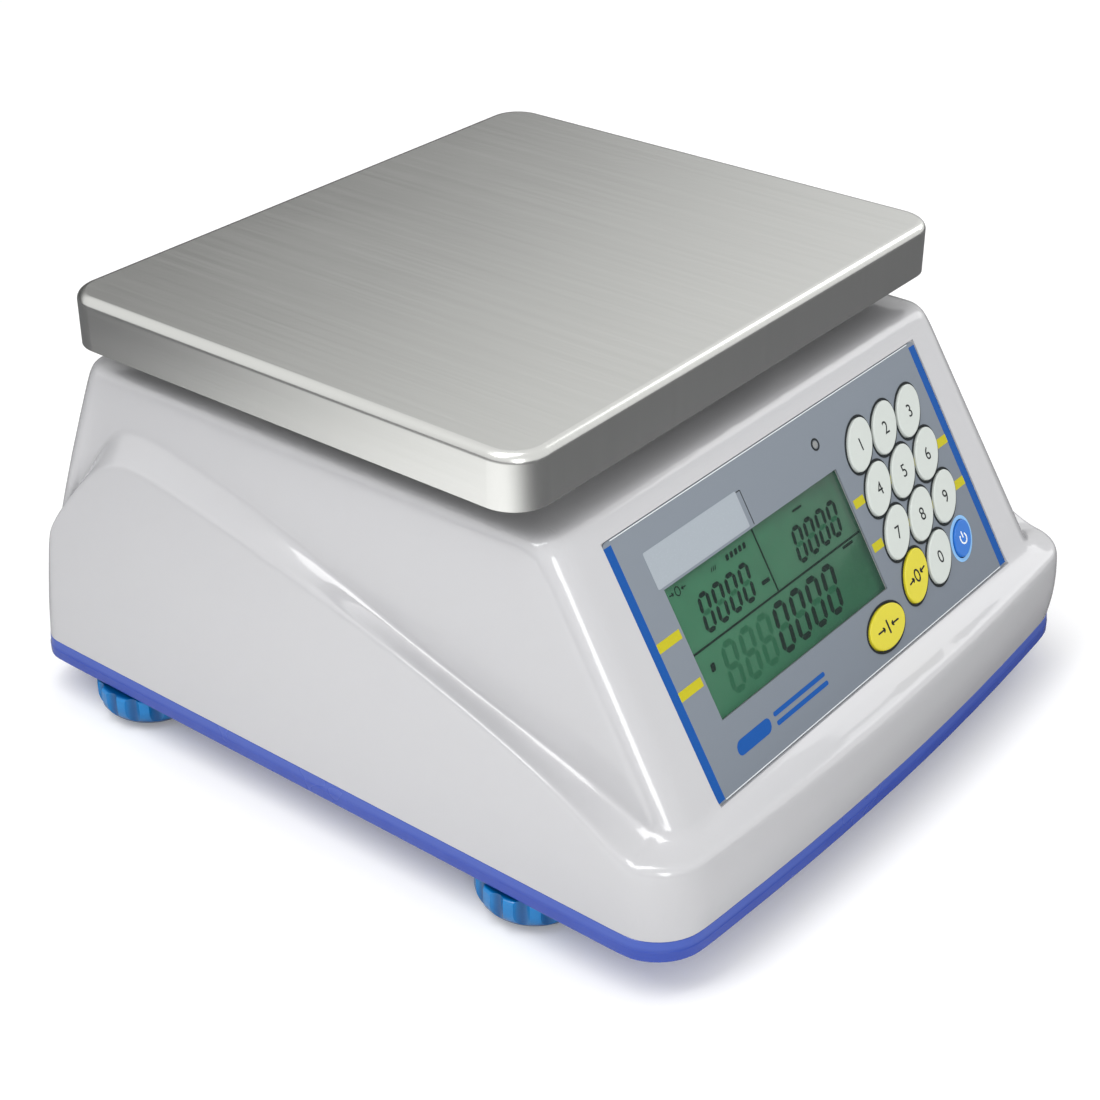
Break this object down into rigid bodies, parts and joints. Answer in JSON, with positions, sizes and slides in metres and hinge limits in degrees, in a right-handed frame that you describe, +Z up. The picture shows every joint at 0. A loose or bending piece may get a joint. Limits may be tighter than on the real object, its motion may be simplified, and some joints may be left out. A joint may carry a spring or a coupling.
{
  "type": "retail bench scale",
  "caption": "Compact electronic bench scale: flat steel pan on a load cell, sloping panel with display and rubber keys, wheel-arch sides and levelling feet.",
  "frame": {"origin": "on the floor under the middle of the base", "axes": "+Z up; +Y runs from the sloping panel at the front to the back; +X to the right of someone facing the panel"},
  "size_m": [0.251, 0.2846, 0.1585],
  "materials": {
    "housing": "glossy moulded shell, off-white",
    "tray": "glossy blue moulding",
    "pan": "brushed along the depth",
    "rubber": "matt",
    "casting": "cast and milled",
    "steel": "zinc plated",
    "overlay": "printed polyester film",
    "window": "clear",
    "lcd": "reflective display glass, green",
    "backlight": "diffuser",
    "black_plastic": "fine texture",
    "board": "printed circuit board",
    "led": "tinted lens",
    "lead": "soft insulation",
    "ribbon": "soft insulation",
    "vial": "tinted liquid",
    "brass": "turned",
    "key_pale": "domed, satin",
    "key_yellow": "domed, satin",
    "key_blue": "domed, satin",
    "foot": "translucent blue"
  },
  "bodies": {
    "scale_body": {"top_housing": "housing", "base_tray": "tray", "load_cell": "casting", "cell_base_spacer": "steel", "cell_base_screws": "steel", "overload_stops": "steel", "panel_overlay": "overlay", "display_window": "window", "lcd_glass": "lcd", "lcd_backlight": "backlight", "display_frame": "black_plastic", "display_board": "board", "keypad_membrane": "rubber", "keypad_domes": "steel", "charging_led": "led", "main_board": "board", "board_screws": "steel", "battery": "black_plastic", "battery_strap": "steel", "battery_leads": "lead", "load_cell_lead": "lead", "ribbon_cable": "ribbon", "battery_door": "tray", "battery_door_screws": "steel", "housing_screws": "steel", "dc_inlet": "black_plastic", "dc_inlet_nut": "steel", "level_vial": "vial", "level_bezel": "black_plastic", "foot_inserts": "brass"},
    "platform": {"platform_spider": "casting", "cell_top_spacer": "steel", "cell_top_screws": "steel", "pan_cushions": "rubber"},
    "pan": {"weighing_pan": "pan"},
    "pad_front_left": {"foot_front_left_pad": "rubber"},
    "knob_front_left": {"foot_front_left_knob": "foot", "foot_front_left_stud": "steel"},
    "pad_front_right": {"foot_front_right_pad": "rubber"},
    "knob_front_right": {"foot_front_right_knob": "foot", "foot_front_right_stud": "steel"},
    "pad_rear_left": {"foot_rear_left_pad": "rubber"},
    "knob_rear_left": {"foot_rear_left_knob": "foot", "foot_rear_left_stud": "steel"},
    "pad_rear_right": {"foot_rear_right_pad": "rubber"},
    "knob_rear_right": {"foot_rear_right_knob": "foot", "foot_rear_right_stud": "steel"},
    "key_0_button": {"key_0": "key_pale"},
    "key_1_button": {"key_1": "key_pale"},
    "key_2_button": {"key_2": "key_pale"},
    "key_3_button": {"key_3": "key_pale"},
    "key_4_button": {"key_4": "key_pale"},
    "key_5_button": {"key_5": "key_pale"},
    "key_6_button": {"key_6": "key_pale"},
    "key_7_button": {"key_7": "key_pale"},
    "key_8_button": {"key_8": "key_pale"},
    "key_9_button": {"key_9": "key_pale"},
    "key_zero_button": {"key_zero": "key_yellow"},
    "key_power_button": {"key_power": "key_blue"},
    "key_tare_button": {"key_tare": "key_yellow"}
  },
  "joints": [
    {"name": "platform_travel", "type": "slide", "parent": "scale_body", "child": "platform", "axis": [0, 0, 1], "range_m": [-0.0008, 0], "stiffness_N_per_m": 40000, "springref_m": 0.0002, "deforming": ["load_cell"]},
    {"name": "pan_lift", "type": "slide", "parent": "platform", "child": "pan", "axis": [0, 0, 1], "range_m": [0, 0.06]},
    {"name": "height_front_left", "type": "slide", "parent": "scale_body", "child": "pad_front_left", "axis": [0, 0, -1], "range_m": [0, 0.0075]},
    {"name": "turn_front_left", "type": "hinge", "parent": "pad_front_left", "child": "knob_front_left", "pos_m": [-0.1065, -0.0736, 0.008], "axis": [0, 0, -1], "range_deg": [0, 2160]},
    {"name": "height_front_right", "type": "slide", "parent": "scale_body", "child": "pad_front_right", "axis": [0, 0, -1], "range_m": [0, 0.0075]},
    {"name": "turn_front_right", "type": "hinge", "parent": "pad_front_right", "child": "knob_front_right", "pos_m": [0.1065, -0.0736, 0.008], "axis": [0, 0, -1], "range_deg": [0, 2160]},
    {"name": "height_rear_left", "type": "slide", "parent": "scale_body", "child": "pad_rear_left", "axis": [0, 0, -1], "range_m": [0, 0.0075]},
    {"name": "turn_rear_left", "type": "hinge", "parent": "pad_rear_left", "child": "knob_rear_left", "pos_m": [-0.1065, 0.0999, 0.008], "axis": [0, 0, -1], "range_deg": [0, 2160]},
    {"name": "height_rear_right", "type": "slide", "parent": "scale_body", "child": "pad_rear_right", "axis": [0, 0, -1], "range_m": [0, 0.0075]},
    {"name": "turn_rear_right", "type": "hinge", "parent": "pad_rear_right", "child": "knob_rear_right", "pos_m": [0.1065, 0.0999, 0.008], "axis": [0, 0, -1], "range_deg": [0, 2160]},
    {"name": "key_0_press", "type": "slide", "parent": "scale_body", "child": "key_0_button", "axis": [0, 0.8517, -0.524], "range_m": [0, 0.0005], "stiffness_N_per_m": 6000},
    {"name": "key_1_press", "type": "slide", "parent": "scale_body", "child": "key_1_button", "axis": [0, 0.8517, -0.524], "range_m": [0, 0.0005], "stiffness_N_per_m": 6000},
    {"name": "key_2_press", "type": "slide", "parent": "scale_body", "child": "key_2_button", "axis": [0, 0.8517, -0.524], "range_m": [0, 0.0005], "stiffness_N_per_m": 6000},
    {"name": "key_3_press", "type": "slide", "parent": "scale_body", "child": "key_3_button", "axis": [0, 0.8517, -0.524], "range_m": [0, 0.0005], "stiffness_N_per_m": 6000},
    {"name": "key_4_press", "type": "slide", "parent": "scale_body", "child": "key_4_button", "axis": [0, 0.8517, -0.524], "range_m": [0, 0.0005], "stiffness_N_per_m": 6000},
    {"name": "key_5_press", "type": "slide", "parent": "scale_body", "child": "key_5_button", "axis": [0, 0.8517, -0.524], "range_m": [0, 0.0005], "stiffness_N_per_m": 6000},
    {"name": "key_6_press", "type": "slide", "parent": "scale_body", "child": "key_6_button", "axis": [0, 0.8517, -0.524], "range_m": [0, 0.0005], "stiffness_N_per_m": 6000},
    {"name": "key_7_press", "type": "slide", "parent": "scale_body", "child": "key_7_button", "axis": [0, 0.8517, -0.524], "range_m": [0, 0.0005], "stiffness_N_per_m": 6000},
    {"name": "key_8_press", "type": "slide", "parent": "scale_body", "child": "key_8_button", "axis": [0, 0.8517, -0.524], "range_m": [0, 0.0005], "stiffness_N_per_m": 6000},
    {"name": "key_9_press", "type": "slide", "parent": "scale_body", "child": "key_9_button", "axis": [0, 0.8517, -0.524], "range_m": [0, 0.0005], "stiffness_N_per_m": 6000},
    {"name": "key_zero_press", "type": "slide", "parent": "scale_body", "child": "key_zero_button", "axis": [0, 0.8517, -0.524], "range_m": [0, 0.0005], "stiffness_N_per_m": 6000},
    {"name": "key_power_press", "type": "slide", "parent": "scale_body", "child": "key_power_button", "axis": [0, 0.8517, -0.524], "range_m": [0, 0.0005], "stiffness_N_per_m": 6000},
    {"name": "key_tare_press", "type": "slide", "parent": "scale_body", "child": "key_tare_button", "axis": [0, 0.8517, -0.524], "range_m": [0, 0.0005], "stiffness_N_per_m": 6000}
  ],
  "couplings": [
    {"joint": "height_front_left", "follows": "turn_front_left", "m_per_rad": 0.00019894},
    {"joint": "height_front_right", "follows": "turn_front_right", "m_per_rad": 0.00019894},
    {"joint": "height_rear_left", "follows": "turn_rear_left", "m_per_rad": 0.00019894},
    {"joint": "height_rear_right", "follows": "turn_rear_right", "m_per_rad": 0.00019894}
  ]
}
